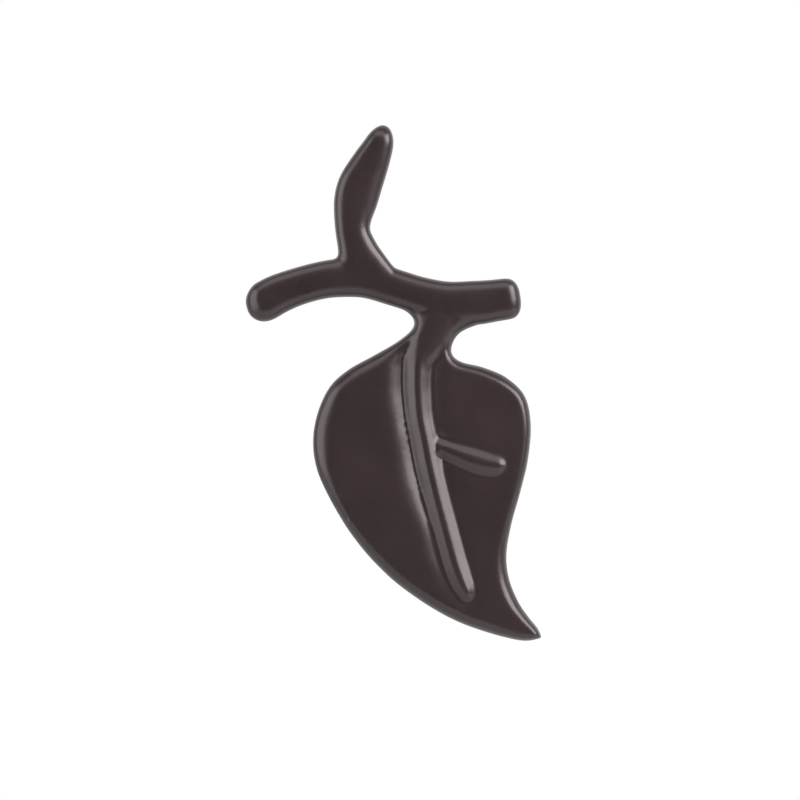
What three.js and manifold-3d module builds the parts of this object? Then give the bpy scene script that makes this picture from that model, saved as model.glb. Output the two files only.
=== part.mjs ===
// Cabinet knob, cast in one piece: a leaf hanging from a twig, with a screw post behind the leaf.
// Units are millimetres. The door is the plane y = 0, the knob's front looks along -Y and +Z is up.
// The origin is the mouth of the screw hole.
import * as THREE from "three";
import { mergeVertices } from "three/addons/utils/BufferGeometryUtils.js";
import Module from "manifold-3d";

const { smoothstep, lerp } = THREE.MathUtils;
const wasm = await Module();
wasm.setup();

// Depths. Fronts and backs are measured from the plane of the leaf's rim.
const STANDOFF = 20; // door to the flat back of the leaf
const LEAF_BACK = 1.3;
const LEAF_FRONT = 2.3;
const RIB_FRONT = 2.5;
const TWIG_FRONT = 2.7;
const TWIG_BACK = 1.8;
const RIM_Y = -(STANDOFF + LEAF_BACK);
const ROOT_DEPTH = LEAF_BACK / 2; // how deep the ribs and the post are rooted in the leaf

// Rounding of the leaf's edges
const LEFT_ROLL = 4; // the left lobe rolls off slowly
const RIGHT_ROLL = 1.7; // the right lobe stays full almost to its edge
const BACK_ROLL = 1.2;
const NARROW_SHARE = 0.3; // at the neck and the tip the roll takes this share of the breadth
const LEAST_ROLL = 0.6;

// Breadth of the slopes that run down into the creases beside the midrib and the side vein
const MIDRIB_SLOPE = 2.5;
const VEIN_SLOPE = 1.6;
const VEIN_VALLEY = 0.5;

// Screw post and its tapped hole, as distances from the door
const FOOT_RADIUS = 6;
const FOOT_HEIGHT = 1.8;
const FOOT_CHAMFER = 0.4;
const WAIST_RADIUS = 4.5;
const WAIST_HEIGHT = 7;
const FLARE_RADIUS = 8.2;
const FLARE_HEIGHT = 4.5;
const HOLE_RADIUS = 1.73; // tapping drill of a No. 8 machine screw
const HOLE_DEPTH = 12;
const COUNTERSINK = 0.5;
const DRILL_POINT = THREE.MathUtils.degToRad(118);

// Squareness of the sections: 2 is an ellipse, more is squarer
const TWIG_SQUARENESS = 2.5;
const RIB_SQUARENESS = 2.3;
const SAWN_END_SQUARENESS = 2.4;

// How far the rounding of each end reaches
const BRANCH_TIP_ROUND = 2.9;
const SAWN_END_ROUND = 2;
const BUD_TIP_ROUND = 2.4;
const MIDRIB_TIP_ROUND = 2.6;
const VEIN_TIP_ROUND = 2.2;
const ROOT_ROUND = 1.5; // ends that lie inside the rest of the casting

// Fineness of the facets
const SECTION_POINTS = 22;
const CAP_RINGS = 5;
const RING_SPACING = 1.2;
const LEAF_SECTIONS = 44;
const TIP_CROWDING = 1.25; // the sections draw together towards the tip
const ROLL_COLUMNS = 6;
const MIDDLE_COLUMNS = 4;
const VALLEY_COLUMNS = 5;
const ROLL_SHARE = 0.55; // most of the breadth that the roll's columns may take
const VALLEY_SHARE = 0.35;
const RAIL_SAMPLES = 240;
const POST_SIDES = 48;
const POST_STEPS = 7;
const HOLE_SIDES = 24;

// Stations of a twig: x, z, half breadth
const BRANCH = [
  [-26.3, 19.6, 2.95],
  [-24.0, 20.3, 3.0],
  [-21.8, 21.5, 2.95],
  [-19.0, 22.6, 2.8],
  [-15.8, 23.5, 2.75],
  [-12.5, 24.0, 2.85],
  [-8.5, 23.8, 2.8],
  [-4.2, 22.5, 2.75],
  [-0.4, 21.3, 2.8],
  [3.4, 20.45, 3.0],
  [7.2, 20.3, 3.25],
  [10.6, 20.65, 3.1],
  [14.3, 21.15, 3.0],
];
const BUD = [
  [-8.4, 22.4, 5.6],
  [-9.2, 26.0, 3.85],
  [-9.8, 28.1, 3.0],
  [-10.5, 30.6, 2.55],
  [-10.55, 32.7, 2.75],
  [-10.15, 35.2, 3.2],
  [-9.4, 37.8, 3.25],
  [-7.8, 41.2, 2.75],
  [-6.8, 43.6, 2.3],
  [-5.85, 46.55, 1.8],
];
// Stations of the side vein: x, z, half breadth, height
const VEIN = [
  [0.9, -0.9, 1.1, 2.2],
  [2.6, -1.4, 1.3, 2.3],
  [4.8, -2.05, 1.55, 2.5],
  [7.5, -2.75, 1.75, 2.75],
  [9.8, -3.45, 1.65, 2.9],
  [12.9, -3.85, 1.4, 2.9],
];
// Stations of the leaf from neck to tip: left edge x, z; midrib x, z; right edge x, z;
// then the midrib's half breadth and the depth of the creases beside it.
const LEAF = [
  [-3.7, 19.8, 3.2, 19.9, 8.7, 17.4, 3.3, 0],
  [-1.6, 18.0, 1.8, 16.9, 5.5, 16.0, 3.05, 0],
  [-1.75, 16.4, 0.95, 15.2, 4.2, 14.3, 2.85, 0],
  [-3.9, 14.55, 0.1, 13.6, 4.15, 12.6, 2.7, 0.1],
  [-7.6, 12.4, -0.75, 11.9, 5.7, 11.5, 2.5, 0.5],
  [-11.3, 10.3, -0.95, 9.5, 8.9, 10.7, 2.25, 0.9],
  [-13.9, 7.9, -0.9, 6.6, 12.3, 9.15, 2.1, 1.1],
  [-15.7, 4.1, -0.6, 3.3, 14.95, 6.4, 2.05, 1.15],
  [-16.4, 0.0, 0.05, 0.0, 15.8, 2.1, 1.95, 1.15],
  [-15.9, -4.1, 0.85, -4.1, 15.35, -2.9, 1.95, 1.15],
  [-13.9, -8.7, 1.95, -8.7, 14.2, -7.8, 2.1, 1.1],
  [-10.9, -13.7, 3.1, -13.1, 12.9, -12.5, 2.25, 1.05],
  [-7.2, -18.2, 4.3, -17.6, 12.2, -17.0, 2.4, 0.95],
  [-2.85, -22.1, 5.7, -21.4, 12.6, -20.6, 2.2, 0.8],
  [2.8, -25.75, 7.3, -24.2, 13.9, -23.9, 1.8, 0.5],
  [8.4, -28.15, 11.6, -26.9, 15.35, -26.1, 0, 0],
  [14.4, -29.65, 15.5, -28.9, 16.8, -27.9, 0, 0],
  [17.4, -29.25, 17.4, -29.25, 17.4, -29.25, 0, 0],
];

// A smooth curve through one pair of columns of a table, its parameter in step with the rows.
function columnsCurve(rows, first, second) {
  return new THREE.SplineCurve(rows.map((row) => new THREE.Vector2(row[first], row[second])));
}

// Distance from a point to a line through many points, and how far along that line it falls.
function nearestOn(line, point) {
  let best = { distance: Infinity, along: 0 };
  for (let i = 1; i < line.length; i++) {
    const edge = line[i].clone().sub(line[i - 1]);
    const offset = point.clone().sub(line[i - 1]);
    const share = THREE.MathUtils.clamp(offset.dot(edge) / edge.lengthSq(), 0, 1);
    const distance = offset.sub(edge.multiplyScalar(share)).length();
    if (distance < best.distance) {
      best = { distance, along: (i - 1 + share) / (line.length - 1) };
    }
  }
  return best;
}

// Quarter of a superellipse: 0 at the edge, 1 at the given reach and beyond.
function rounding(distance, reach, squareness = 2) {
  const rest = Math.max(0, 1 - distance / reach);
  return (1 - rest ** squareness) ** (1 / squareness);
}

// Spacing that suits such a quarter: close together at its steep start.
function quarterStep(i, count) {
  return 1 - Math.cos(((i / count) * Math.PI) / 2);
}

// Skin over closed sections of equal count, with a point at either end.
function loft(startPoint, sections, endPoint) {
  const count = sections[0].length;
  const points = [startPoint, ...sections.flat(), endPoint];
  const at = (row, column) => 1 + row * count + (column % count);
  const last = sections.length - 1;
  const index = [];
  for (let column = 0; column < count; column++) {
    index.push(0, at(0, column), at(0, column + 1));
    for (let row = 0; row < last; row++) {
      index.push(at(row, column), at(row + 1, column), at(row + 1, column + 1));
      index.push(at(row, column), at(row + 1, column + 1), at(row, column + 1));
    }
    index.push(at(last, column), points.length - 1, at(last, column + 1));
  }
  const geometry = new THREE.BufferGeometry().setFromPoints(points);
  geometry.setIndex(index);
  return geometry;
}

// A closed surface as a solid that can be joined and cut.
function solidOf(geometry) {
  const bare = geometry.clone();
  bare.deleteAttribute("normal");
  bare.deleteAttribute("uv");
  const merged = mergeVertices(bare, 1e-4);
  const corners = merged.index.array;
  const kept = [];
  for (let i = 0; i < corners.length; i += 3) {
    const [a, b, c] = corners.slice(i, i + 3);
    if (a !== b && b !== c && c !== a) {
      kept.push(a, b, c);
    }
  }
  return new wasm.Manifold(
    new wasm.Mesh({
      numProp: 3,
      vertProperties: merged.attributes.position.array,
      triVerts: new Uint32Array(kept),
    }),
  );
}

// A solid as a geometry that a mesh can show.
function geometryOf(solid) {
  const mesh = solid.getMesh();
  const geometry = new THREE.BufferGeometry();
  geometry.setAttribute("position", new THREE.BufferAttribute(mesh.vertProperties, 3));
  geometry.setIndex(new THREE.BufferAttribute(mesh.triVerts, 1));
  geometry.computeVertexNormals();
  return geometry;
}

// Section of a twig, square to its path: flat enough on the crest, round at the sides.
function twigSection(centre, across, half, front, back, squareness) {
  const points = [];
  const curl = (value) => Math.sign(value) * Math.abs(value) ** (2 / squareness);
  for (let i = 0; i < SECTION_POINTS; i++) {
    const angle = (i / SECTION_POINTS) * 2 * Math.PI;
    const side = half * curl(Math.cos(angle));
    const depth = curl(Math.sin(angle)) * (Math.sin(angle) > 0 ? front : back);
    points.push(
      new THREE.Vector3(centre.x + across.x * side, RIM_Y - depth, centre.y + across.y * side),
    );
  }
  return points;
}

// A twig along its stations. Each end is rounded off over its own length.
function twig(stations, { front, back, squareness, startRound, endRound, endSquareness = 2 }) {
  const path = columnsCurve(stations, 0, 1);
  const sizes = new THREE.SplineCurve(
    stations.map((row) => new THREE.Vector2(row[2], row[3] ?? front)),
  );
  const length = path.getLength();
  const middle = length - startRound - endRound;
  const steps = Math.round(middle / RING_SPACING);
  const places = [];
  for (let i = 1; i <= CAP_RINGS; i++) {
    places.push(startRound * quarterStep(i, CAP_RINGS));
  }
  for (let i = 1; i < steps; i++) {
    places.push(startRound + (middle * i) / steps);
  }
  for (let i = CAP_RINGS; i >= 1; i--) {
    places.push(length - endRound * quarterStep(i, CAP_RINGS));
  }
  const sections = places.map((place) => {
    const t = path.getUtoTmapping(place / length);
    const tangent = path.getTangent(t);
    const size = sizes.getPoint(t);
    const shrink =
      rounding(place, startRound) * rounding(length - place, endRound, endSquareness);
    return twigSection(
      path.getPoint(t),
      new THREE.Vector2(tangent.y, -tangent.x),
      size.x * shrink,
      size.y * shrink,
      back * shrink,
      squareness,
    );
  });
  const [start, end] = [path.getPoint(0), path.getPoint(1)];
  return loft(
    new THREE.Vector3(start.x, RIM_Y, start.y),
    sections,
    new THREE.Vector3(end.x, RIM_Y, end.y),
  );
}

// Distances from the edge towards the midrib: close together on the roll and in the valley.
function leafColumns(width, roll, ribHalf) {
  const rollPart = Math.min(roll, ROLL_SHARE * width);
  const valleyPart = Math.min(ribHalf + MIDRIB_SLOPE, VALLEY_SHARE * width);
  const middlePart = width - rollPart - valleyPart;
  const columns = [];
  for (let i = 0; i < ROLL_COLUMNS; i++) {
    columns.push(rollPart * quarterStep(i, ROLL_COLUMNS));
  }
  for (let i = 0; i < MIDDLE_COLUMNS; i++) {
    columns.push(rollPart + (middlePart * i) / MIDDLE_COLUMNS);
  }
  for (let i = 0; i < VALLEY_COLUMNS; i++) {
    columns.push(width - valleyPart + (valleyPart * i) / VALLEY_COLUMNS);
  }
  return columns;
}

// The leaf's blade. Its height follows the distance to the outline and to the two ribs.
function blade() {
  const left = columnsCurve(LEAF, 0, 1);
  const rib = columnsCurve(LEAF, 2, 3);
  const right = columnsCurve(LEAF, 4, 5);
  const leftLine = left.getPoints(RAIL_SAMPLES);
  const rightLine = right.getPoints(RAIL_SAMPLES);
  const ribLine = rib.getPoints(RAIL_SAMPLES);
  const veinLine = columnsCurve(VEIN, 0, 1).getPoints(RAIL_SAMPLES);
  const ribSize = columnsCurve(LEAF, 6, 7);
  const veinSize = columnsCurve(VEIN, 2, 3);

  const slope = (distance, half, reach) => {
    const rest = 1 - THREE.MathUtils.clamp((distance - half) / reach, 0, 1);
    return rest * rest;
  };
  const toEdge = (point) =>
    Math.min(nearestOn(leftLine, point).distance, nearestOn(rightLine, point).distance);
  const frontAt = (point, side, width) => {
    const roll = lerp(LEFT_ROLL, RIGHT_ROLL, side);
    const toRib = nearestOn(ribLine, point);
    const toVein = nearestOn(veinLine, point);
    const atRib = ribSize.getPoint(toRib.along);
    const atVein = veinSize.getPoint(toVein.along);
    const dip =
      atRib.y * slope(toRib.distance, atRib.x, MIDRIB_SLOPE) +
      VEIN_VALLEY * slope(toVein.distance, atVein.x, VEIN_SLOPE);
    const reach = Math.min(roll, Math.max(NARROW_SHARE * width, LEAST_ROLL));
    return (LEAF_FRONT - dip) * rounding(toEdge(point), reach);
  };
  const backAt = (point) => LEAF_BACK * rounding(toEdge(point), BACK_ROLL);

  const sections = [];
  for (let row = 0; row < LEAF_SECTIONS; row++) {
    const t = 1 - (1 - row / LEAF_SECTIONS) ** TIP_CROWDING;
    const [l, m, r] = [left.getPoint(t), rib.getPoint(t), right.getPoint(t)];
    const ribHalf = ribSize.getPoint(t).x;
    const width = l.distanceTo(m) + m.distanceTo(r);
    const plan = [];
    for (const column of leafColumns(l.distanceTo(m), LEFT_ROLL, ribHalf)) {
      plan.push({ point: l.clone().lerp(m, column / l.distanceTo(m)), side: 0 });
    }
    plan.push({ point: m, side: 0.5 });
    for (const column of leafColumns(r.distanceTo(m), RIGHT_ROLL, ribHalf).reverse()) {
      plan.push({ point: r.clone().lerp(m, column / r.distanceTo(m)), side: 1 });
    }
    const front = plan.map(
      ({ point, side }) => new THREE.Vector3(point.x, RIM_Y - frontAt(point, side, width), point.y),
    );
    const back = plan
      .slice(1, -1)
      .reverse()
      .map(({ point }) => new THREE.Vector3(point.x, RIM_Y + backAt(point), point.y));
    sections.push([...front, ...back]);
  }
  const start = rib.getPoint(0);
  const tip = rib.getPoint(1);
  return loft(
    new THREE.Vector3(start.x, RIM_Y, start.y),
    sections,
    new THREE.Vector3(tip.x, RIM_Y, tip.y),
  );
}

// The screw post: a foot on the door, a waist for the fingers and a flare into the leaf.
function post() {
  const profile = [
    new THREE.Vector2(0, 0),
    new THREE.Vector2(FOOT_RADIUS - FOOT_CHAMFER, 0),
    new THREE.Vector2(FOOT_RADIUS, FOOT_CHAMFER),
    new THREE.Vector2(FOOT_RADIUS, FOOT_HEIGHT),
  ];
  for (let i = 1; i <= POST_STEPS; i++) {
    const share = i / POST_STEPS;
    profile.push(
      new THREE.Vector2(
        lerp(FOOT_RADIUS, WAIST_RADIUS, smoothstep(share, 0, 1)),
        lerp(FOOT_HEIGHT, WAIST_HEIGHT, share),
      ),
    );
  }
  for (let i = 0; i < POST_STEPS; i++) {
    const angle = ((i / POST_STEPS) * Math.PI) / 2;
    profile.push(
      new THREE.Vector2(
        lerp(FLARE_RADIUS, WAIST_RADIUS, Math.cos(angle)),
        STANDOFF - FLARE_HEIGHT * (1 - Math.sin(angle)),
      ),
    );
  }
  profile.push(new THREE.Vector2(FLARE_RADIUS, STANDOFF + ROOT_DEPTH));
  profile.push(new THREE.Vector2(0, STANDOFF + ROOT_DEPTH));
  return new THREE.LatheGeometry(profile, POST_SIDES).rotateX(Math.PI);
}

// What the drill and the countersink take out of the post.
function hole() {
  const over = 1; // starts clear of the door side
  const profile = [
    new THREE.Vector2(0, -over),
    new THREE.Vector2(HOLE_RADIUS + COUNTERSINK + over, -over),
    new THREE.Vector2(HOLE_RADIUS, COUNTERSINK),
    new THREE.Vector2(HOLE_RADIUS, HOLE_DEPTH),
    new THREE.Vector2(0, HOLE_DEPTH + HOLE_RADIUS / Math.tan(DRILL_POINT / 2)),
  ];
  return new THREE.LatheGeometry(profile, HOLE_SIDES).rotateX(Math.PI);
}

function knobCasting() {
  const branch = twig(BRANCH, {
    front: TWIG_FRONT,
    back: TWIG_BACK,
    squareness: TWIG_SQUARENESS,
    startRound: BRANCH_TIP_ROUND,
    endRound: SAWN_END_ROUND,
    endSquareness: SAWN_END_SQUARENESS,
  });
  const bud = twig(BUD, {
    front: TWIG_FRONT,
    back: TWIG_BACK,
    squareness: TWIG_SQUARENESS,
    startRound: ROOT_ROUND,
    endRound: BUD_TIP_ROUND,
  });
  const midrib = twig(LEAF.filter((row) => row[6]).map((row) => [row[2], row[3], row[6]]), {
    front: RIB_FRONT,
    back: ROOT_DEPTH,
    squareness: RIB_SQUARENESS,
    startRound: ROOT_ROUND,
    endRound: MIDRIB_TIP_ROUND,
  });
  const vein = twig(VEIN, {
    front: LEAF_FRONT,
    back: ROOT_DEPTH,
    squareness: RIB_SQUARENESS,
    startRound: ROOT_ROUND,
    endRound: VEIN_TIP_ROUND,
  });
  return [midrib, vein, branch, bud, post()]
    .reduce((whole, piece) => whole.add(solidOf(piece)), solidOf(blade()))
    .subtract(solidOf(hole()));
}

const lacquer = new THREE.MeshStandardMaterial({ color: 0x3a2e2d, roughness: 0.32, metalness: 0.1 });
const casting = new THREE.Mesh(geometryOf(knobCasting()), lacquer);
casting.name = "knob_casting";

const knob = new THREE.Group();
knob.add(casting);

export default knob;
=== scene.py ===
# %% [markdown]
# # A cabinet knob: a leaf hanging from a twig
#
# The real knob is one casting with a satin, dark brown lacquer. This lesson models it as a
# foundry's pattern maker would: twigs and ribs first, then the blade of the leaf, then the
# post for the screw. The pieces are fused into one body, and the body is finished.
#
# The solid model of the knob gives the size and the place. Everything is in metres, the door
# is the plane y = 0, the knob looks along -Y and +Z is up. The tables and sizes of the forms
# are in millimetres, and a number that has been turned into metres says so with its MM.

import math

import bpy
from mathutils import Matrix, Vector, kdtree


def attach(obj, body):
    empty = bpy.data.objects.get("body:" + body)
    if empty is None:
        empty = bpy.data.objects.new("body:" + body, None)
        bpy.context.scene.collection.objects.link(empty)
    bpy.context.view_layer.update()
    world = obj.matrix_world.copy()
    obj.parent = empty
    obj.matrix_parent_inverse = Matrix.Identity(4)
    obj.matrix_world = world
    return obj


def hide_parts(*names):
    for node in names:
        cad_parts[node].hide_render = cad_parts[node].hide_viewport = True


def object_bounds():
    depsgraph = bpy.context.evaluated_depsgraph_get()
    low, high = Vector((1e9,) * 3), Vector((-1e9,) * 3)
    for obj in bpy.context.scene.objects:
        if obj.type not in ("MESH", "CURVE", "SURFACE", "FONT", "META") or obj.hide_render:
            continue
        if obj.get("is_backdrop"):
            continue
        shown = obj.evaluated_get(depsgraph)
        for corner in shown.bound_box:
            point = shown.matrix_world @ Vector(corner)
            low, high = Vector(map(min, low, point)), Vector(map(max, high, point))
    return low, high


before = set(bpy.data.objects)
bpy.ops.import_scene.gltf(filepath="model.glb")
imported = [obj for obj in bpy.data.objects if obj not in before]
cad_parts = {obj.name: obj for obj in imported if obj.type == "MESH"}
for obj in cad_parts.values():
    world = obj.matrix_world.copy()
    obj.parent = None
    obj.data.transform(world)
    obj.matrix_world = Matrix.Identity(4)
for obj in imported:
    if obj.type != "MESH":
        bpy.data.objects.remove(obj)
solid_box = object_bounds()
bpy.ops.object.select_all(action="DESELECT")
print("solid model, mm:", [[round(v * 1000, 1) for v in corner] for corner in solid_box])

# %% [markdown]
# ## The camera
#
# The photograph shows the knob straight from the front through a long lens: the sawn end of
# the twig and the rim of the leaf show no side. So the camera stands a metre away and looks
# along +Y. The picture is 118.4 mm wide at the rim of the leaf.

# %% Camera
MM = 0.001
RIM_Y = -21.3 * MM  # the plane of the leaf's rim
PICTURE_WIDTH = 118.4 * MM
PICTURE_CENTRE = Vector((-3.55 * MM, RIM_Y, 5.92 * MM))
CAMERA_DISTANCE = 1.0

bpy.ops.object.camera_add(location=PICTURE_CENTRE - Vector((0, CAMERA_DISTANCE, 0)))
camera = bpy.context.object
camera.rotation_euler = (math.radians(90), 0, 0)
camera.data.sensor_width = 36
camera.data.lens = camera.data.sensor_width * CAMERA_DISTANCE / PICTURE_WIDTH
camera.data.clip_start = 0.05
camera.data.clip_end = 20
bpy.context.scene.camera = camera
print("lens, mm:", round(camera.data.lens))

# %% [markdown]
# ## How a twig is drawn
#
# A twig could be a curve with a bevel, but its breadth, its height and its rounded ends all
# change in their own way. So it is drawn as a modeller does by hand: a ring is extruded from
# station to station, widened, flattened and turned each time. A table of a few stations
# holds the form, and a smooth line runs through them.


# %% A smooth line through the stations
def through(rows, t):
    """A point of the smooth line through the rows of a table, for t from 0 to 1."""
    place = min(max(t, 0.0), 1.0) * (len(rows) - 1)
    i = min(int(place), len(rows) - 2)
    share = place - i
    before, start, end, after = (
        rows[max(0, min(len(rows) - 1, k))] for k in (i - 1, i, i + 1, i + 2)
    )
    point = []
    for a, b, c, d in zip(before, start, end, after):
        out, into = (c - a) / 2, (d - b) / 2
        cubic = 2 * b - 2 * c + out + into
        square = 3 * c - 3 * b - 2 * out - into
        point.append(((cubic * share + square) * share + out) * share + b)
    return point


def rounding(distance, reach, squareness=2.0):
    """Quarter of a superellipse: 0 at the edge, 1 at the given reach and beyond."""
    rest = min(1.0, max(0.0, 1 - distance / reach))
    return (1 - rest**squareness) ** (1 / squareness)


# %% Helpers for edit mode
def start_piece(name):
    """Names the new primitive and opens it in edit mode."""
    piece = bpy.context.object
    piece.name = piece.data.name = name
    bpy.ops.object.mode_set(mode="EDIT")
    return piece


def end_piece(piece):
    """Merges doubles, turns the faces outwards and leaves edit mode."""
    bpy.ops.mesh.select_all(action="SELECT")
    bpy.ops.mesh.remove_doubles(threshold=0.002 * MM)
    bpy.ops.mesh.normals_make_consistent(inside=False)
    bpy.ops.object.mode_set(mode="OBJECT")
    piece.select_set(False)
    print(piece.name, "mm:", [round(side / MM, 1) for side in piece.dimensions])
    return piece


def move_all(piece, place):
    """Gives each vertex the place that the rule works out from its old one."""
    bpy.ops.object.mode_set(mode="OBJECT")
    for vertex in piece.data.vertices:
        vertex.co = place(vertex.co)
    bpy.ops.object.mode_set(mode="EDIT")


def turn(angle, centre):
    """Turns the selection about +Y. Without a window the operator turns the other way."""
    bpy.ops.transform.rotate(value=-angle, orient_axis="Y", center_override=centre)


# %% Turn a shape on a lathe
def lathe(name, rings, sides):
    """Extrudes a round through rings of radius and depth, and leaves it in edit mode."""
    radius, depth = rings[0]
    bpy.ops.mesh.primitive_circle_add(vertices=sides, radius=radius * MM)
    piece = start_piece(name)
    move_all(piece, lambda co: Vector((co.x, -depth * MM, co.y)))
    bpy.ops.mesh.select_all(action="SELECT")
    bpy.ops.mesh.edge_face_add()
    for next_radius, next_depth in rings[1:]:
        step = (0, (depth - next_depth) * MM, 0)
        bpy.ops.mesh.extrude_edges_move(TRANSFORM_OT_translate={"value": step})
        wide = next_radius / radius
        centre = (0, -next_depth * MM, 0)
        bpy.ops.transform.resize(value=(wide, 1, wide), center_override=centre)
        radius, depth = next_radius, next_depth
    return piece


# %% Where the rings of a twig lie
RING_POINTS = 32
RING_SPACING = 0.6
CAP_RINGS = 7
AIM = 0.002  # the line is looked at this far of its length ahead and behind, for its direction


def ring_places(length, start_round, end_round):
    """Distances along the twig: close together where the ends curve in."""
    quarter = [1 - math.cos(i / CAP_RINGS * math.pi / 2) for i in range(1, CAP_RINGS + 1)]
    middle = length - start_round - end_round
    steps = max(2, round(middle / RING_SPACING))
    places = [start_round * q for q in quarter]
    places += [start_round + middle * i / steps for i in range(1, steps)]
    places += [length - end_round * q for q in reversed(quarter)]
    return places


def walk(rows, count=400):
    """How far the line through x and z has run at each of evenly spaced t."""
    points = [Vector(through(rows, i / count)[:2]) for i in range(count + 1)]
    run = [0.0]
    for a, b in zip(points, points[1:]):
        run.append(run[-1] + (b - a).length)
    return run


def at_distance(run, distance):
    """The t at which the line has run this far."""
    for i in range(1, len(run)):
        if run[i] >= distance:
            share = (distance - run[i - 1]) / (run[i] - run[i - 1])
            return (i - 1 + share) / (len(run) - 1)
    return 1.0


# %% Distance to a line
def fine_line(rows, column, count=1500):
    """Points along the line through two columns of a table, and a tree to search them."""
    points = []
    for i in range(count + 1):
        row = through(rows, i / count)
        points.append(Vector((row[column] * MM, 0, row[column + 1] * MM)))
    tree = kdtree.KDTree(len(points))
    for i, point in enumerate(points):
        tree.insert(point, i)
    tree.balance()
    return points, tree


def nearest(line, spot):
    """Distance of a spot from the line, and how far along the line that is, from 0 to 1."""
    points, tree = line
    found = tree.find(spot)[1]
    best = (math.inf, 0.0)
    for i in (found - 1, found):
        if 0 <= i < len(points) - 1:
            start, step = points[i], points[i + 1] - points[i]
            share = min(1.0, max(0.0, (spot - start).dot(step) / step.length_squared))
            distance = (spot - start - step * share).length
            best = min(best, (distance, (i + share) / (len(points) - 1)))
    return best


# %% Draw a twig ring by ring
def draw_twig(name, rows, back, start_round, end_round, end_squareness=2.0):
    """Rows are x, z, half breadth and height of the front, in millimetres."""
    run = walk(rows)
    rings = []
    for place in ring_places(run[-1], start_round, end_round):
        t = at_distance(run, place)
        x, z, half, front = through(rows, t)
        ahead, behind = through(rows, t + AIM), through(rows, t - AIM)
        angle = math.atan2(ahead[0] - behind[0], ahead[1] - behind[1])
        shrink = rounding(place, start_round)
        shrink *= rounding(run[-1] - place, end_round, end_squareness)
        centre = Vector((x * MM, RIM_Y, z * MM))
        rings.append((centre, angle, half * shrink, front * shrink))

    bpy.ops.mesh.primitive_circle_add(vertices=RING_POINTS, radius=1)
    piece = start_piece(name)
    centre, angle, half, front = rings[0]

    def flattened(co):
        reach = front if co.y > 0 else front * back / rows[0][3]
        return centre + Vector((co.x * half, -co.y * reach, 0)) * MM

    move_all(piece, flattened)
    bpy.ops.mesh.select_all(action="SELECT")
    turn(angle, centre)
    bpy.ops.mesh.edge_face_add()
    for next_centre, next_angle, next_half, next_front in rings[1:]:
        bpy.ops.mesh.extrude_edges_move(TRANSFORM_OT_translate={"value": next_centre - centre})
        turn(-angle, next_centre)
        widen = (next_half / half, next_front / front, 1)
        bpy.ops.transform.resize(value=widen, center_override=next_centre)
        turn(next_angle, next_centre)
        centre, angle, half, front = next_centre, next_angle, next_half, next_front
    bpy.ops.mesh.edge_face_add()
    return end_piece(piece)


# %% Square the section of a twig, or give it a ridge
WIDE = 3.0 * MM  # where the half breadth is more than this, the twig is squarer still
CREST_ROUND = 0.45
BOXY = 5.0  # how square the foot of a ridge is
# how much of the ridge is a straight roof, on its dark and its lit side; the rest is an oval
ROOF_SHARES = (0.85, 0.7)


def carve(piece, rows, squareness, slopes=None, ridge_from=0.0, ridge_to=0.0):
    """Makes the oval section squarer. Slopes are those of a ridge: dark side, lit side."""
    line = fine_line(rows, 0)
    for vertex in piece.data.vertices:
        spot = Vector((vertex.co.x, 0, vertex.co.z))
        away, t = nearest(line, spot)
        x, z, half, front = (value * MM for value in through(rows, t))
        depth = RIM_Y - vertex.co.y
        if depth <= 0:
            continue
        size = math.hypot(away / half, depth / front)
        side = min(1.0, away / half / size)
        power = squareness * max(1.0, half / WIDE)
        height = (1 - side**power) ** (1 / power)
        if slopes:
            lit = (spot.x - x) + (spot.z - z) > 0
            drop = slopes[lit] * (math.hypot(side * half / MM, CREST_ROUND) - CREST_ROUND)
            roof = min((1 - side**BOXY) ** (1 / BOXY), 1 - drop * MM / front)
            straight = ROOF_SHARES[lit]
            ridge = straight * roof + (1 - straight) * math.sqrt(1 - side * side)
            share = min(1.0, max(0.0, (t - ridge_from) / max(1e-6, ridge_to - ridge_from)))
            height += (ridge - height) * share
        vertex.co.y = RIM_Y - front * size * height


# %% [markdown]
# ## The twig and its bud
#
# The branch is a worn piece of wood: thick at the rounded left end, thin in the middle and
# sawn off square at the right. The bud grows from a broad foot and swells again before its
# tip. Their fronts are flattened ovals, squarer still where they are broad, and both are
# fuller in front than behind, where a casting is left flat.

# %% Branch and bud
TWIG_FRONT = 2.7
TWIG_BACK = 1.8
TWIG_SQUARENESS = 3.0  # 2 is an ellipse, more is squarer
ROOT_ROUND = 1.5  # ends that lie inside the rest of the casting

# x, z, half breadth
BRANCH = [
    (-26.3, 19.6, 2.95),
    (-24.0, 20.3, 3.0),
    (-21.8, 21.5, 2.95),
    (-19.0, 22.6, 2.8),
    (-15.8, 23.5, 2.75),
    (-12.5, 24.0, 2.85),
    (-8.5, 23.8, 2.8),
    (-4.2, 22.5, 2.75),
    (-0.4, 21.3, 2.8),
    (3.4, 20.45, 3.0),
    (7.2, 20.3, 3.25),
    (10.6, 20.65, 3.1),
    (14.3, 21.15, 3.0),
]
BUD = [
    (-8.4, 22.4, 5.6),
    (-9.2, 26.0, 3.85),
    (-9.8, 28.1, 3.0),
    (-10.5, 30.6, 2.55),
    (-10.55, 32.7, 2.75),
    (-10.15, 35.2, 3.2),
    (-9.4, 37.8, 3.25),
    (-7.8, 41.2, 2.75),
    (-6.7, 43.6, 2.2),
    (-5.7, 46.55, 1.5),
]


def with_height(rows, height):
    """The same table with the height of the front as its last column."""
    return [(*row, height) for row in rows]


branch_rows = with_height(BRANCH, TWIG_FRONT)
branch = draw_twig(
    "branch", branch_rows, TWIG_BACK, start_round=2.9, end_round=2.0, end_squareness=2.4
)
carve(branch, branch_rows, TWIG_SQUARENESS)
bud_rows = with_height(BUD, TWIG_FRONT)
bud = draw_twig("bud", bud_rows, TWIG_BACK, ROOT_ROUND, end_round=2.4)
carve(bud, bud_rows, TWIG_SQUARENESS)

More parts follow.
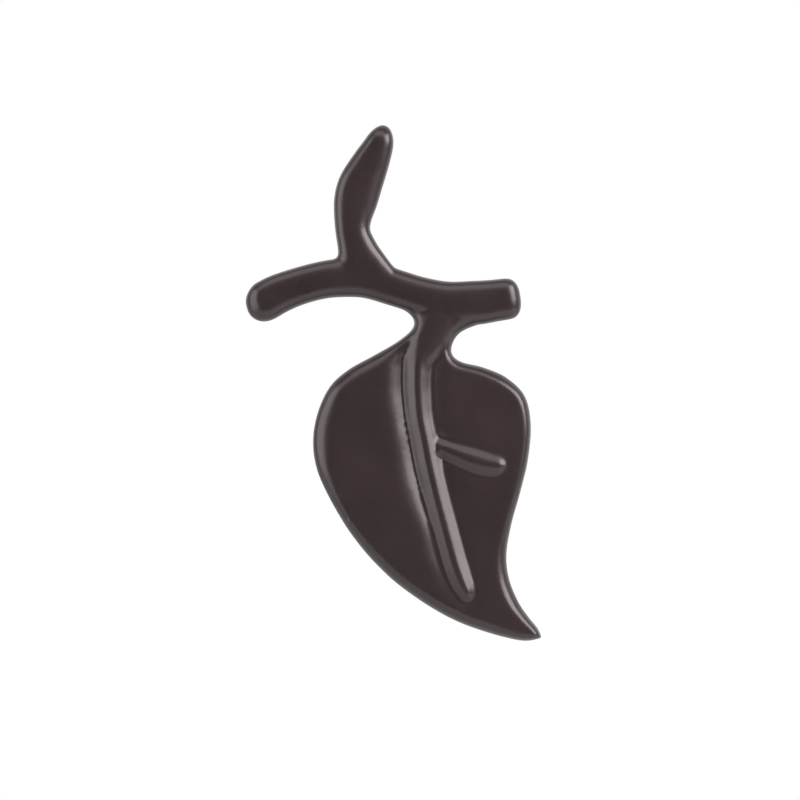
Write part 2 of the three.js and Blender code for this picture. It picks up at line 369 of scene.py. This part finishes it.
# %% [markdown]
# ## The ribs
#
# The midrib starts as the stalk below the branch and thins out towards the tip. One side vein
# lies on the right lobe, thickest before its end. Both stand up from creases in the blade, and
# both are given a ridge like that of a roof. The midrib's comes in below the stalk.
#
# The table of the leaf holds both its edges and the line of the midrib, so that the ribs and
# the blade are drawn from the same values.

# %% Midrib and side vein
ROOT_DEPTH = 0.65  # how deep the ribs and the post are rooted in the leaf

# left edge x, z; midrib x, z; right edge x, z
LEAF = [
    (-3.7, 19.8, 3.2, 19.9, 8.7, 17.4),
    (-1.6, 18.0, 1.8, 16.9, 5.5, 16.0),
    (-1.75, 16.4, 0.95, 15.2, 4.2, 14.3),
    (-3.9, 14.55, 0.1, 13.6, 4.15, 12.6),
    (-7.6, 12.4, -0.75, 11.9, 5.7, 11.5),
    (-11.3, 10.3, -0.95, 9.5, 8.9, 10.7),
    (-13.9, 7.9, -0.9, 6.6, 12.3, 9.15),
    (-15.7, 4.1, -0.6, 3.3, 14.95, 6.4),
    (-16.4, 0, 0.05, 0, 15.8, 2.1),
    (-15.9, -4.1, 0.85, -4.1, 15.35, -2.9),
    (-13.9, -8.7, 1.95, -8.7, 14.2, -7.8),
    (-10.9, -13.7, 3.1, -13.1, 12.9, -12.5),
    (-7.2, -18.2, 4.3, -17.6, 12.2, -17.0),
    (-2.85, -22.1, 5.7, -21.4, 12.6, -20.6),
    (2.8, -25.75, 7.3, -24.2, 13.9, -23.9),
    (8.4, -28.15, 11.6, -26.9, 15.35, -26.1),
    (14.4, -29.65, 15.5, -28.9, 16.8, -27.9),
    (17.4, -29.25, 17.4, -29.25, 17.4, -29.25),
]
# half breadth and height of the midrib, row by row beside the leaf
MIDRIB = [
    (3.3, 2.6),
    (3.05, 2.62),
    (2.85, 2.65),
    (2.7, 2.7),
    (2.5, 2.8),
    (2.3, 2.9),
    (2.2, 2.9),
    (2.15, 2.9),
    (2.1, 2.9),
    (2.1, 2.9),
    (2.15, 2.9),
    (2.3, 2.9),
    (2.4, 2.9),
]
# and its end, which leaves the middle of the leaf: x, z, half breadth and height
MIDRIB_END = [(5.35, -20.6, 2.1, 2.9), (6.2, -22.4, 1.4, 2.8), (6.85, -24.0, 0.5, 2.55)]
# x, z, half breadth and height of the front
VEIN = [
    (0.9, -0.6, 1.0, 2.3),
    (2.7, -1.1, 1.15, 2.5),
    (5.1, -2.1, 1.6, 2.75),
    (7.5, -3.0, 1.85, 2.9),
    (10.0, -3.65, 1.75, 2.9),
    (12.7, -3.7, 1.0, 2.8),
]
# how steeply the sides of the ridge fall, the dark one at the left and the lit one
RIB_SLOPES = (0.88, 0.66)
VEIN_SLOPES = (0.4, 0.38)

midrib_rows = [(*row[2:4], *size) for row, size in zip(LEAF, MIDRIB)] + MIDRIB_END
midrib = draw_twig("midrib", midrib_rows, ROOT_DEPTH, ROOT_ROUND, end_round=1.2)
carve(midrib, midrib_rows, TWIG_SQUARENESS, RIB_SLOPES, ridge_from=0.17, ridge_to=0.31)
vein = draw_twig("vein", VEIN, ROOT_DEPTH, ROOT_ROUND, end_round=1.6)
carve(vein, VEIN, TWIG_SQUARENESS, VEIN_SLOPES)

# %% [markdown]
# ## The blade
#
# The blade is a thick plate whose height changes everywhere: it rolls off slowly at the left
# edge and quickly at the right one, and it slopes down into a valley on both sides of the
# midrib. Sculpting would give that by eye. Here a grid is extruded once for its back, and one
# rule then gives each of its points a place from its distance to the edges and to the ribs.


# %% The rule for the height of the blade
LEAF_FRONT = 2.3 * MM
LEAF_BACK = 1.3 * MM
BACK_ROLL = 1.2 * MM
VEIN_VALLEY = 0.4 * MM
VEIN_SLOPE = 3.0 * MM
RIB_FOOT = 0.85  # the valley starts at this share of the midrib's half breadth
VALLEY_CURVE = 2.5  # more is steeper beside the rib and flatter farther out

# Row by row beside the leaf: depth and breadth of the valley left of the midrib, the same
# right of it, and how far the left and the right edge roll off
RELIEF = [
    (0.0, 2.5, 0.0, 3.5, 3.5, 1.7),
    (0.0, 2.5, 0.0, 3.5, 1.3, 1.5),
    (0.0, 2.5, 0.0, 3.5, 1.3, 1.5),
    (0.5, 2.8, 0.3, 3.5, 1.6, 1.2),
    (1.2, 3.4, 0.6, 3.2, 2.2, 1.2),
    (1.35, 3.8, 0.65, 3.0, 2.4, 1.4),
    (1.35, 4.0, 0.65, 3.0, 2.4, 1.6),
    (1.15, 4.3, 0.6, 3.2, 3.0, 1.3),
    (1.1, 4.6, 0.55, 3.5, 3.4, 1.1),
    (1.2, 4.7, 0.5, 3.5, 2.4, 1.0),
    (0.95, 4.3, 0.5, 4.0, 1.6, 1.0),
    (0.6, 3.4, 0.5, 3.5, 1.5, 1.1),
    (0.5, 3.5, 0.45, 4.0, 1.6, 1.5),
    (0.4, 4.0, 0.4, 4.0, 1.6, 1.8),
    (0.3, 4.0, 0.3, 4.0, 1.8, 1.8),
    (0.0, 4.0, 0.0, 4.0, 1.5, 1.3),
    (0.0, 4.0, 0.0, 4.0, 0.9, 0.9),
    (0.0, 4.0, 0.0, 4.0, 0.6, 0.6),
]
left_line = fine_line(LEAF, 0)
rib_line = fine_line(midrib_rows, 0)
right_line = fine_line(LEAF, 4)
vein_line = fine_line(VEIN, 0)


def slope(distance, half, reach):
    """1 beside the rib, and 0 where the slope has run out."""
    rest = 1 - min(1.0, max(0.0, (distance - half) / reach))
    return rest**VALLEY_CURVE


def front_of_blade(spot, t, right_side):
    """Height of the front above the rim, at this share of the way from neck to tip."""
    relief = [value * MM for value in through(RELIEF, t)]
    valley, breadth = relief[2:4] if right_side else relief[0:2]
    to_rib, along_rib = nearest(rib_line, spot)
    to_vein, along_vein = nearest(vein_line, spot)
    rib_half = through(midrib_rows, along_rib)[2] * MM
    vein_half = through(VEIN, along_vein)[2] * MM
    dip = valley * slope(to_rib, RIB_FOOT * rib_half, breadth)
    dip += VEIN_VALLEY * (1 - along_vein) * slope(to_vein, vein_half, VEIN_SLOPE)
    edge = min(nearest(left_line, spot)[0], nearest(right_line, spot)[0])
    return (LEAF_FRONT - dip) * rounding(edge, relief[5 if right_side else 4])


# %% Blade
BLADE_COLUMNS = 150
BLADE_ROWS = 190
TIP_CROWDING = 1.25  # the rows draw together towards the tip
EDGE_CROWDING = 0.7  # and the columns towards the edges

bpy.ops.mesh.primitive_grid_add(x_subdivisions=BLADE_COLUMNS, y_subdivisions=BLADE_ROWS, size=2)
blade = start_piece("blade")
bpy.ops.mesh.extrude_region_move(TRANSFORM_OT_translate={"value": (0, 0, -1)})


def on_the_blade(co):
    """The grid runs from -1 to 1. Its x leads from edge to edge and its y from neck to tip."""
    t = 1 - ((1 - co.y) / 2) ** TIP_CROWDING
    row = through(LEAF, t)
    left, middle, right = (Vector((row[i] * MM, 0, row[i + 1] * MM)) for i in (0, 2, 4))
    edge = left if co.x < 0 else right
    even = 1 - abs(co.x)
    inwards = even + EDGE_CROWDING * (1 - math.cos(even * math.pi / 2) - even)
    spot = edge.lerp(middle, inwards)
    if even < 1e-4:
        height = 0.0
    elif co.z < -0.5:
        near = min(nearest(left_line, spot)[0], nearest(right_line, spot)[0])
        height = -LEAF_BACK * rounding(near, BACK_ROLL)
    else:
        height = front_of_blade(spot, t, co.x > 0)
    return spot + Vector((0, RIM_Y - height, 0))


move_all(blade, on_the_blade)
end_piece(blade)

# %% [markdown]
# ## The screw post
#
# Behind the leaf a round post carries the knob: a foot that rests on the door, a waist that
# leaves room for the fingers, and a flare that runs out on the back of the leaf. It is turned
# ring by ring from a circle. Its foot is left a little too long here and is faced flat when
# everything is fused.

# %% Post
STANDOFF = 20.0
FOOT_RADIUS = 6.0
FOOT_HEIGHT = 1.8
FOOT_CHAMFER = 0.4
WAIST_RADIUS = 4.5
WAIST_HEIGHT = 7.0
FLARE_RADIUS = 8.2
FLARE_HEIGHT = 4.5
SPARE_LENGTH = 1.0
POST_SIDES = 96
POST_STEPS = 24

post_rings = [
    (FOOT_RADIUS - FOOT_CHAMFER, -SPARE_LENGTH),
    (FOOT_RADIUS - FOOT_CHAMFER, 0),
    (FOOT_RADIUS, FOOT_CHAMFER),
    (FOOT_RADIUS, FOOT_HEIGHT),
]
for i in range(1, POST_STEPS + 1):
    share = i / POST_STEPS
    ease = share * share * (3 - 2 * share)
    radius = FOOT_RADIUS + (WAIST_RADIUS - FOOT_RADIUS) * ease
    post_rings.append((radius, FOOT_HEIGHT + (WAIST_HEIGHT - FOOT_HEIGHT) * share))
for i in range(POST_STEPS + 1):
    angle = i / POST_STEPS * math.pi / 2
    radius = FLARE_RADIUS + (WAIST_RADIUS - FLARE_RADIUS) * math.cos(angle)
    post_rings.append((radius, STANDOFF - FLARE_HEIGHT * (1 - math.sin(angle))))
post_rings.append((FLARE_RADIUS, STANDOFF + ROOT_DEPTH))

post = lathe("post", post_rings, POST_SIDES)
bpy.ops.mesh.edge_face_add()
end_piece(post)

# %% [markdown]
# ## Fusing the casting
#
# The real knob comes out of the mould in one piece, so nothing may show where a twig meets
# another. A Boolean union would leave sharp lines there. A voxel remesh melts the pieces into
# one even skin instead, and smoothing then works as the sand and the lacquer do. Everywhere
# it only takes off the steps of the voxels. In the forks of the twig it goes much further and
# makes the hollow fillets. Along the foot of the ribs, a crease as thin as a voxel would come
# out ragged, so a narrow strip there is smoothed a little more.


# %% Fuse the pieces
def apply(piece, kind, **settings):
    """Adds a modifier with its settings and applies it."""
    modifier = piece.modifiers.new(kind.title(), kind)
    for name, value in settings.items():
        setattr(modifier, name, value)
    bpy.context.view_layer.objects.active = piece
    bpy.ops.object.modifier_apply(modifier=modifier.name)
    print(kind.lower(), "leaves", len(piece.data.polygons), "faces")


VOXEL = 0.25 * MM
SKIN_SMOOTHING = 8

for piece in (branch, bud, midrib, vein):
    apply(piece, "SUBSURF", levels=1, render_levels=1)
for piece in (branch, bud, midrib, vein, post, blade):
    piece.select_set(True)
bpy.context.view_layer.objects.active = blade
bpy.ops.object.join()
knob = bpy.context.object
knob.name = knob.data.name = "leaf_knob"
apply(knob, "REMESH", mode="VOXEL", voxel_size=VOXEL, adaptivity=0)
apply(knob, "SMOOTH", factor=0.5, iterations=SKIN_SMOOTHING)

# %% Fillets in the forks
FILLET_SMOOTHING = 40
# x, z, reach and strength
FORKS = [
    (-12.9, 27.2, 3.4, 1.0),
    (-5.4, 27.0, 3.6, 0.6),
    (-1.9, 18.3, 2.6, 0.8),
    (-3.7, 20.6, 2.6, 1.0),
    (5.6, 17.3, 3.4, 0.9),
    (5.0, 12.2, 2.2, 0.6),
]
fillets = knob.vertex_groups.new(name="fillets")
for vertex in knob.data.vertices:
    weight = 0.0
    for x, z, reach, strength in FORKS:
        away = math.hypot(vertex.co.x - x * MM, vertex.co.z - z * MM) / (reach * MM)
        if away < 1:
            weight = max(weight, strength * (1 - away * away) ** 2)
    if weight > 0:
        fillets.add([vertex.index], weight, "REPLACE")
apply(knob, "SMOOTH", factor=0.5, iterations=FILLET_SMOOTHING, vertex_group="fillets")

# %% Creases beside the ribs
CREASE_REACH = 0.6 * MM
CREASES_FROM = 0.15  # a rib's root lies inside the casting and has no crease
CREASE_SMOOTHING = 12
creases = knob.vertex_groups.new(name="creases")
for vertex in knob.data.vertices:
    if vertex.co.y > RIM_Y:
        continue
    spot = Vector((vertex.co.x, 0, vertex.co.z))
    for line, rows in ((rib_line, midrib_rows), (vein_line, VEIN)):
        away, t = nearest(line, spot)
        off = abs(away - through(rows, t)[2] * RIB_FOOT * MM) / CREASE_REACH
        if off < 1 and t > CREASES_FROM:
            creases.add([vertex.index], 1 - off * off, "REPLACE")
apply(knob, "SMOOTH", factor=0.5, iterations=CREASE_SMOOTHING, vertex_group="creases")

# %% [markdown]
# ## The skin of the casting
#
# Sand and lacquer leave a surface that is never quite even. A Displace modifier with a cloud
# pattern gives long, very low waves, which the gloss shows as a slight wander. Two small nibs
# stand on the front, where dust lay under the lacquer. Each is a few points, pulled up.

# %% Low waves
WAVE_LENGTH = 7.0 * MM
WAVE_HEIGHT = 0.09 * MM

waves = bpy.data.textures.new("casting waves", "CLOUDS")
waves.noise_scale = WAVE_LENGTH
waves.noise_depth = 1
apply(knob, "DISPLACE", texture=waves, strength=WAVE_HEIGHT, mid_level=0.0)

# %% Nibs in the lacquer
NIB_RADIUS = 0.45 * MM
# x, z and height
NIBS = [(-17.17, 21.61, 0.16), (-11.03, -12.06, 0.14)]

for x, z, height in NIBS:
    moved = 0
    for vertex in knob.data.vertices:
        away = math.hypot(vertex.co.x - x * MM, vertex.co.z - z * MM) / NIB_RADIUS
        if away < 1 and vertex.co.y < RIM_Y:
            vertex.co += vertex.normal * height * MM * (1 - away * away) ** 2
            moved += 1
    print("nib of", moved, "points")

# %% [markdown]
# ## Facing, drilling and tapping
#
# The casting is then machined. The foot is cut off flat at the plane of the door with the
# bisect tool. A drill with a countersink and a 118 degree point makes the blind hole, and a
# tap cuts the thread of a No. 8 screw. Both tools are modelled and taken away with a Boolean
# modifier. The tap is a cam, a round with one tooth, that is extruded ring by ring and turned
# a little each time: its tooth runs down as a helix.

# %% Face the foot
bpy.ops.object.mode_set(mode="EDIT")
bpy.ops.mesh.select_all(action="SELECT")
DOOR = {"plane_co": (0, 0, 0), "plane_no": (0, 1, 0)}
bpy.ops.mesh.bisect(**DOOR, threshold=1e-7, use_fill=True, clear_outer=True)
bpy.ops.object.mode_set(mode="OBJECT")
knob.select_set(False)
print("foot faced at y =", round(max(v.co.y for v in knob.data.vertices) / MM, 3), "mm")

# %% Drill
HOLE_RADIUS = 1.73
HOLE_DEPTH = 12.0
COUNTERSINK = 0.5
DRILL_POINT = math.radians(118)
HOLE_SIDES = 48
CLEAR = 1.0  # the tools start this far off the foot

point_depth = HOLE_DEPTH + HOLE_RADIUS / math.tan(DRILL_POINT / 2)
drill_rings = [
    (HOLE_RADIUS + COUNTERSINK + CLEAR, -CLEAR),
    (HOLE_RADIUS, COUNTERSINK),
    (HOLE_RADIUS, HOLE_DEPTH),
    (HOLE_RADIUS / 100, point_depth),
]
drill = lathe("drill", drill_rings, HOLE_SIDES)
bpy.ops.mesh.merge(type="CENTER")  # the last ring, into the point
end_piece(drill)

# %% Tap
THREAD_RADIUS = 2.085
THREAD_FLOOR = 1.62  # less than the hole's radius, so the root of the cam cuts nothing
PITCH = 0.794
THREAD_DEPTH = 10.4
TAP_POINTS = 24
STEPS_A_TURN = 12

bpy.ops.mesh.primitive_circle_add(vertices=TAP_POINTS, radius=1)
tap = start_piece("tap")


def cam(co):
    """One tooth on a round: its crest is at one side and its root at the other."""
    around = math.atan2(co.y, co.x) / math.pi
    reach = THREAD_RADIUS + (THREAD_FLOOR - THREAD_RADIUS) * abs(around)
    return Vector((co.x * reach, CLEAR, co.y * reach)) * MM


move_all(tap, cam)
bpy.ops.mesh.select_all(action="SELECT")
bpy.ops.mesh.edge_face_add()
step = (0, -PITCH / STEPS_A_TURN * MM, 0)
for i in range(round((CLEAR + THREAD_DEPTH) / PITCH * STEPS_A_TURN)):
    bpy.ops.mesh.extrude_edges_move(TRANSFORM_OT_translate={"value": step})
    turn(-2 * math.pi / STEPS_A_TURN, (0, 0, 0))
bpy.ops.mesh.edge_face_add()
end_piece(tap)

# %% Cut the hole and its thread
for tool in (drill, tap):
    apply(knob, "BOOLEAN", operation="DIFFERENCE", object=tool, solver="EXACT")
    bpy.data.objects.remove(tool)
print("triangles:", sum(len(face.vertices) - 2 for face in knob.data.polygons))

# %% Smooth shading
SHARP = math.radians(40)

knob.select_set(True)
bpy.context.view_layer.objects.active = knob
bpy.ops.object.shade_smooth_by_angle(angle=SHARP)
knob.select_set(False)
print("knob, mm:", [round(side / MM, 2) for side in knob.dimensions])

# %% [markdown]
# ## Satin lacquer
#
# The finish is an even, dark brown lacquer with a satin gloss. An image could carry its
# colour, but a pattern that is worked out from the place on the object has no seams. Two
# groups of nodes do it. One puts out slow and fine clouds, for the tone and for the sheen.
# The other puts out the height of the orange peel, the tiny dimples of a sprayed coat.


# %% Helpers for nodes
def new_group(name, inputs, output):
    """An empty group with numbers and coordinates going in and one value coming out."""
    group = bpy.data.node_groups.new(name, "ShaderNodeTree")
    group.interface.new_socket(
        name="Coordinates", in_out="INPUT", socket_type="NodeSocketVector"
    )
    for label, value in inputs:
        socket = group.interface.new_socket(
            name=label, in_out="INPUT", socket_type="NodeSocketFloat"
        )
        socket.default_value = value
    group.interface.new_socket(name=output, in_out="OUTPUT", socket_type="NodeSocketFloat")
    entry = group.nodes.new("NodeGroupInput")
    out = group.nodes.new("NodeGroupOutput")
    return group, entry.outputs, out.inputs


def noise(tree, coordinates, scale, detail):
    """A noise texture. Scale is a socket that carries the number of waves to the metre."""
    node = tree.nodes.new("ShaderNodeTexNoise")
    tree.links.new(coordinates, node.inputs["Vector"])
    tree.links.new(scale, node.inputs["Scale"])
    node.inputs["Detail"].default_value = detail
    return node.outputs["Fac"]


def blend(tree, a, b, share):
    """A mix of two values, with this share of the second one."""
    node = tree.nodes.new("ShaderNodeMix")
    tree.links.new(a, node.inputs["A"])
    tree.links.new(b, node.inputs["B"])
    node.inputs["Factor"].default_value = share
    return node.outputs["Result"]


# %% Group: clouds in the tone
FINE_SHARE = 0.35

clouds, entry, out = new_group("Lacquer clouds", [("Slow", 110), ("Fine", 900)], "Clouds")
slow = noise(clouds, entry["Coordinates"], entry["Slow"], 2)
fine = noise(clouds, entry["Coordinates"], entry["Fine"], 4)
clouds.links.new(blend(clouds, slow, fine, FINE_SHARE), out["Clouds"])

# %% Group: orange peel
GRAIN_SHARE = 0.15

peel, entry, out = new_group("Orange peel", [("Dimples", 1000), ("Grain", 6000)], "Height")
dimples = noise(peel, entry["Coordinates"], entry["Dimples"], 1)
grain = noise(peel, entry["Coordinates"], entry["Grain"], 2)
peel.links.new(blend(peel, dimples, grain, GRAIN_SHARE), out["Height"])
print("groups:", [group.name for group in bpy.data.node_groups])


# %% Lacquer
def shade(red, green, blue):
    """A colour as the eye reads it, 0 to 255, as the light values that a shader takes."""
    linear = []
    for value in (red, green, blue):
        part = value / 255
        linear.append(part / 12.92 if part <= 0.04045 else ((part + 0.055) / 1.055) ** 2.4)
    return (*linear, 1.0)


DARK_BROWN = shade(38, 30, 29)
LIGHT_BROWN = shade(43, 34, 35)
WARM_GLOSS = (1.0, 0.90, 0.93, 1.0)  # the gloss is a little pink, as the photograph shows it
SHEEN = (0.27, 0.34)  # roughness, from the glossiest place to the dullest
CLOUD_RANGE = (0.3, 0.7)  # a noise seldom leaves these values
PEEL_HEIGHT = 0.02 * MM

lacquer = bpy.data.materials.new("satin brown lacquer")
lacquer.use_nodes = True
tree = lacquer.node_tree
principled = tree.nodes["Principled BSDF"]
principled.inputs["Metallic"].default_value = 0.0
principled.inputs["IOR"].default_value = 1.5
principled.inputs["Specular Tint"].default_value = WARM_GLOSS
coordinates = tree.nodes.new("ShaderNodeTexCoord").outputs["Object"]

tone = tree.nodes.new("ShaderNodeGroup")
tone.node_tree = clouds
tree.links.new(coordinates, tone.inputs["Coordinates"])
browns = tree.nodes.new("ShaderNodeValToRGB")
for stop, place, colour in zip(
    browns.color_ramp.elements, CLOUD_RANGE, (DARK_BROWN, LIGHT_BROWN)
):
    stop.position = place
    stop.color = colour
tree.links.new(tone.outputs["Clouds"], browns.inputs["Fac"])
tree.links.new(browns.outputs["Color"], principled.inputs["Base Color"])

sheen = tree.nodes.new("ShaderNodeMapRange")
for label, value in zip(("From Min", "From Max", "To Min", "To Max"), CLOUD_RANGE + SHEEN):
    sheen.inputs[label].default_value = value
tree.links.new(tone.outputs["Clouds"], sheen.inputs["Value"])
tree.links.new(sheen.outputs["Result"], principled.inputs["Roughness"])

skin = tree.nodes.new("ShaderNodeGroup")
skin.node_tree = peel
tree.links.new(coordinates, skin.inputs["Coordinates"])
bump = tree.nodes.new("ShaderNodeBump")
bump.inputs["Strength"].default_value = 1.0
bump.inputs["Distance"].default_value = PEEL_HEIGHT
tree.links.new(skin.outputs["Height"], bump.inputs["Height"])
tree.links.new(bump.outputs["Normal"], principled.inputs["Normal"])

knob.data.materials.clear()
knob.data.materials.append(lacquer)
print("material:", lacquer.name, "with", len(tree.nodes), "nodes")

# %% [markdown]
# ## Light
#
# In the photograph all the form is drawn by reflections: a strong one on every slope that
# faces up to the right, a weaker one on the left rim, and a dark middle where the lacquer
# mirrors the camera's side of the room. So a big softbox hangs at the upper right, weaker
# ones stand at the left and above, and the room is dark in front and white behind. The power
# of a lamp is worked out from its radiance, because that is what a mirror image of it shows.

# %% Softboxes
SUBJECT = Vector((-4 * MM, -20 * MM, 8 * MM))


def softbox(name, place, wide, high, radiance):
    """An area lamp that faces the knob."""
    data = bpy.data.lights.new(name, "AREA")
    data.shape = "RECTANGLE"
    data.size = wide
    data.size_y = high
    data.energy = radiance * math.pi * wide * high
    lamp = bpy.data.objects.new(name, data)
    lamp.location = Vector(place)
    lamp.rotation_euler = (SUBJECT - lamp.location).to_track_quat("-Z", "Y").to_euler()
    lamp.visible_camera = False
    bpy.context.collection.objects.link(lamp)
    print(name, "power:", round(data.energy, 1), "W")


softbox("right softbox", (0.385, -0.29, 0.235), 0.44, 0.42, 9.0)
softbox("left softbox", (-0.43, -0.20, 0.08), 0.40, 0.50, 3.3)
softbox("top softbox", (-0.08, -0.25, 0.44), 0.50, 0.40, 2.0)

# %% The room
world = bpy.data.worlds.new("studio")
world.use_nodes = True
bpy.context.scene.world = world
tree = world.node_tree
tree.nodes.clear()
rays = tree.nodes.new("ShaderNodeLightPath").outputs

SEEN = 1.0  # what the camera sees of the room itself
DIFFUSE = 0.06  # what lights the knob evenly
# What the lacquer mirrors, by how far backwards the ray goes: dark in front, white behind
MIRRORED = {"From Min": -0.1, "From Max": 0.6, "To Min": 0.07, "To Max": 1.0}


def room(strength):
    """A white background of this strength, which is a number or a socket."""
    node = tree.nodes.new("ShaderNodeBackground")
    node.inputs["Color"].default_value = (1, 1, 1, 1)
    if isinstance(strength, float):
        node.inputs["Strength"].default_value = strength
    else:
        tree.links.new(strength, node.inputs["Strength"])
    return node.outputs["Background"]


def choose(ray, others, chosen):
    """One shader for rays of this kind and another for the others."""
    node = tree.nodes.new("ShaderNodeMixShader")
    tree.links.new(rays[ray], node.inputs["Fac"])
    tree.links.new(others, node.inputs[1])
    tree.links.new(chosen, node.inputs[2])
    return node.outputs["Shader"]


direction = tree.nodes.new("ShaderNodeSeparateXYZ")
tree.links.new(tree.nodes.new("ShaderNodeTexCoord").outputs["Generated"], direction.inputs[0])
backwards = tree.nodes.new("ShaderNodeMapRange")
for label, value in MIRRORED.items():
    backwards.inputs[label].default_value = value
tree.links.new(direction.outputs["Y"], backwards.inputs["Value"])
mirrored = room(backwards.outputs["Result"])
other_rays = choose("Is Glossy Ray", room(DIFFUSE), mirrored)
surface = choose("Is Camera Ray", other_rays, room(SEEN))
tree.links.new(surface, tree.nodes.new("ShaderNodeOutputWorld").inputs["Surface"])
print("world:", len(tree.nodes), "nodes")

# %% [markdown]
# ## Floor
#
# A knob hangs on a door and stands on nothing, so the floor lies well below it, out of the
# picture. It keeps the soft shadow of the knob for views from above. The lamps are small and
# would leave it grey, so to the camera alone it is lifted most of the way to white.

# %% Floor
FLOOR_SIZE = 0.7
FLOOR_CENTRE = (0, 0.12, -0.10)
FLOOR_WHITE = shade(240, 240, 240)
PALENESS = 0.6  # how far it is lifted

bpy.ops.mesh.primitive_plane_add(size=FLOOR_SIZE, location=FLOOR_CENTRE)
floor = bpy.context.object
floor.name = floor.data.name = "floor"
pale = bpy.data.materials.new("pale floor")
pale.use_nodes = True
paint = pale.node_tree.nodes["Principled BSDF"]
paint.inputs["Base Color"].default_value = FLOOR_WHITE
paint.inputs["Roughness"].default_value = 0.9
tree = pale.node_tree
seen = tree.nodes.new("ShaderNodeLightPath").outputs["Is Camera Ray"]
share = tree.nodes.new("ShaderNodeMath")
share.operation = "MULTIPLY"
share.inputs[1].default_value = PALENESS
tree.links.new(seen, share.inputs[0])
glow = tree.nodes.new("ShaderNodeEmission").outputs["Emission"]
lift = tree.nodes.new("ShaderNodeMixShader")
tree.links.new(share.outputs["Value"], lift.inputs["Fac"])
tree.links.new(paint.outputs["BSDF"], lift.inputs[1])
tree.links.new(glow, lift.inputs[2])
tree.links.new(lift.outputs["Shader"], tree.nodes["Material Output"].inputs["Surface"])
floor.data.materials.append(pale)
floor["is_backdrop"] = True
print("floor, metres:", FLOOR_SIZE, "broad at z =", FLOOR_CENTRE[2])

# %% The room's look
scene = bpy.context.scene
scene.view_settings.view_transform = "Standard"
print("view transform:", scene.view_settings.view_transform)

# %% [markdown]
# ## The last steps
#
# The knob rides on the body that the door holds, takes the place of the plain solid and
# keeps its finish. The sizes of both are written down side by side.

# %% Hand over
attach(knob, "root")
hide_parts("knob_casting")

dressed_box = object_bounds()
for label, box in (("solid", solid_box), ("dressed", dressed_box)):
    print(label, "mm:", [[round(v / MM, 2) for v in corner] for corner in box])
